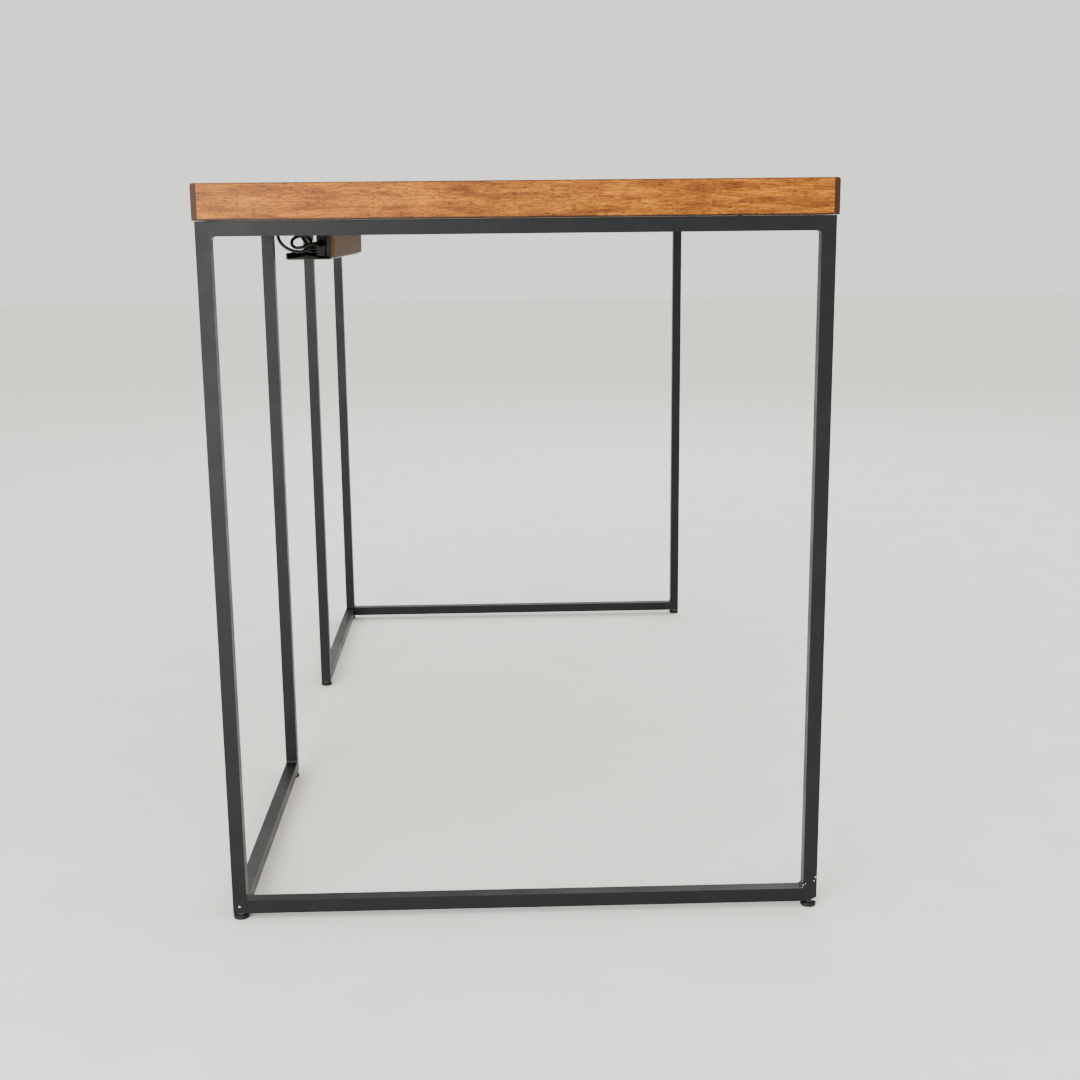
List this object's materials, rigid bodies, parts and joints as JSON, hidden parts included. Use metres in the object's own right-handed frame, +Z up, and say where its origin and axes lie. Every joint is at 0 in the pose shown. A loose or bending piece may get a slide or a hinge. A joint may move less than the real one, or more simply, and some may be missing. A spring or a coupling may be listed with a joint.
{
  "type": "desk",
  "caption": "Fixed-height rectangular desk: lipped wooden top on slim square-tube steel side frames, with screw-in glides and a rear cable tray holding a power strip and its cord.",
  "frame": {"origin": "on the floor under the centre of the top", "axes": "+X along the desk to the user's right, +Y to the rear where the cable tray is, +Z up"},
  "size_m": [1.2, 0.6, 0.73],
  "materials": {
    "stained_wood": "brown-orange stain under satin lacquer",
    "core_board": "raw particle board",
    "coated_steel": "dark grey satin powder coat",
    "zinc_steel": "bright zinc plate",
    "black_zinc_steel": "black passivated zinc plate",
    "black_nylon": "black moulded nylon",
    "black_vinyl": "black moulded vinyl, fine satin",
    "white_nylon": "natural white nylon",
    "brass": "bright stamped brass"
  },
  "bodies": {
    "desk": {"top_core": "core_board", "top_face_veneer": "stained_wood", "top_back_veneer": "stained_wood", "lipping_front": "stained_wood", "lipping_rear": "stained_wood", "lipping_left": "stained_wood", "lipping_right": "stained_wood", "leg_front_left": "coated_steel", "leg_rear_left": "coated_steel", "leg_return_left": "coated_steel", "bottom_rail_left": "coated_steel", "top_rail_left": "coated_steel", "return_bottom_rail_left": "coated_steel", "return_top_rail_left": "coated_steel", "top_screw_front_left": "black_zinc_steel", "top_screw_rear_left": "black_zinc_steel", "top_screw_return_left": "black_zinc_steel", "leg_front_right": "coated_steel", "leg_rear_right": "coated_steel", "leg_return_right": "coated_steel", "bottom_rail_right": "coated_steel", "top_rail_right": "coated_steel", "return_bottom_rail_right": "coated_steel", "return_top_rail_right": "coated_steel", "top_screw_front_right": "black_zinc_steel", "top_screw_rear_right": "black_zinc_steel", "top_screw_return_right": "black_zinc_steel", "cable_tray": "coated_steel", "tray_board": "stained_wood", "tray_screw_left": "black_zinc_steel", "tray_screw_middle": "black_zinc_steel", "tray_screw_right": "black_zinc_steel", "strip_base": "black_vinyl", "strip_cover": "black_vinyl", "strip_live_bar": "brass", "strip_neutral_bar": "brass", "strip_screw_left": "black_zinc_steel", "strip_screw_right": "black_zinc_steel", "cord_grip": "black_vinyl", "cord_lead": "black_vinyl", "cord_hank": "black_vinyl", "cord_tail": "black_vinyl", "hank_tie": "white_nylon", "cord_clip_left": "black_nylon", "cord_clip_right": "black_nylon", "plug_body": "black_vinyl", "plug_blade_front": "brass", "plug_blade_rear": "brass"},
    "pad_front_left": {"glide_pad_front_left": "black_nylon"},
    "stem_front_left": {"glide_stem_front_left": "zinc_steel"},
    "pad_rear_left": {"glide_pad_rear_left": "black_nylon"},
    "stem_rear_left": {"glide_stem_rear_left": "zinc_steel"},
    "pad_return_left": {"glide_pad_return_left": "black_nylon"},
    "stem_return_left": {"glide_stem_return_left": "zinc_steel"},
    "pad_front_right": {"glide_pad_front_right": "black_nylon"},
    "stem_front_right": {"glide_stem_front_right": "zinc_steel"},
    "pad_rear_right": {"glide_pad_rear_right": "black_nylon"},
    "stem_rear_right": {"glide_stem_rear_right": "zinc_steel"},
    "pad_return_right": {"glide_pad_return_right": "black_nylon"},
    "stem_return_right": {"glide_stem_return_right": "zinc_steel"}
  },
  "joints": [
    {"name": "glide_height_front_left", "type": "slide", "parent": "desk", "child": "pad_front_left", "axis": [0, 0, -1], "range_m": [0, 0.01]},
    {"name": "glide_turn_front_left", "type": "hinge", "parent": "pad_front_left", "child": "stem_front_left", "pos_m": [-0.591, -0.291, 0.0068], "axis": [0, 0, -1], "range_deg": [0, 3600]},
    {"name": "glide_height_rear_left", "type": "slide", "parent": "desk", "child": "pad_rear_left", "axis": [0, 0, -1], "range_m": [0, 0.01]},
    {"name": "glide_turn_rear_left", "type": "hinge", "parent": "pad_rear_left", "child": "stem_rear_left", "pos_m": [-0.591, 0.291, 0.0068], "axis": [0, 0, -1], "range_deg": [0, 3600]},
    {"name": "glide_height_return_left", "type": "slide", "parent": "desk", "child": "pad_return_left", "axis": [0, 0, -1], "range_m": [0, 0.01]},
    {"name": "glide_turn_return_left", "type": "hinge", "parent": "pad_return_left", "child": "stem_return_left", "pos_m": [-0.195, 0.291, 0.0068], "axis": [0, 0, -1], "range_deg": [0, 3600]},
    {"name": "glide_height_front_right", "type": "slide", "parent": "desk", "child": "pad_front_right", "axis": [0, 0, -1], "range_m": [0, 0.01]},
    {"name": "glide_turn_front_right", "type": "hinge", "parent": "pad_front_right", "child": "stem_front_right", "pos_m": [0.591, -0.291, 0.0068], "axis": [0, 0, -1], "range_deg": [0, 3600]},
    {"name": "glide_height_rear_right", "type": "slide", "parent": "desk", "child": "pad_rear_right", "axis": [0, 0, -1], "range_m": [0, 0.01]},
    {"name": "glide_turn_rear_right", "type": "hinge", "parent": "pad_rear_right", "child": "stem_rear_right", "pos_m": [0.591, 0.291, 0.0068], "axis": [0, 0, -1], "range_deg": [0, 3600]},
    {"name": "glide_height_return_right", "type": "slide", "parent": "desk", "child": "pad_return_right", "axis": [0, 0, -1], "range_m": [0, 0.01]},
    {"name": "glide_turn_return_right", "type": "hinge", "parent": "pad_return_right", "child": "stem_return_right", "pos_m": [0.195, 0.291, 0.0068], "axis": [0, 0, -1], "range_deg": [0, 3600]}
  ],
  "couplings": [
    {"joint": "glide_turn_front_left", "follows": "glide_height_front_left", "rad_per_m": 6283.2},
    {"joint": "glide_turn_rear_left", "follows": "glide_height_rear_left", "rad_per_m": 6283.2},
    {"joint": "glide_turn_return_left", "follows": "glide_height_return_left", "rad_per_m": 6283.2},
    {"joint": "glide_turn_front_right", "follows": "glide_height_front_right", "rad_per_m": 6283.2},
    {"joint": "glide_turn_rear_right", "follows": "glide_height_rear_right", "rad_per_m": 6283.2},
    {"joint": "glide_turn_return_right", "follows": "glide_height_return_right", "rad_per_m": 6283.2}
  ]
}
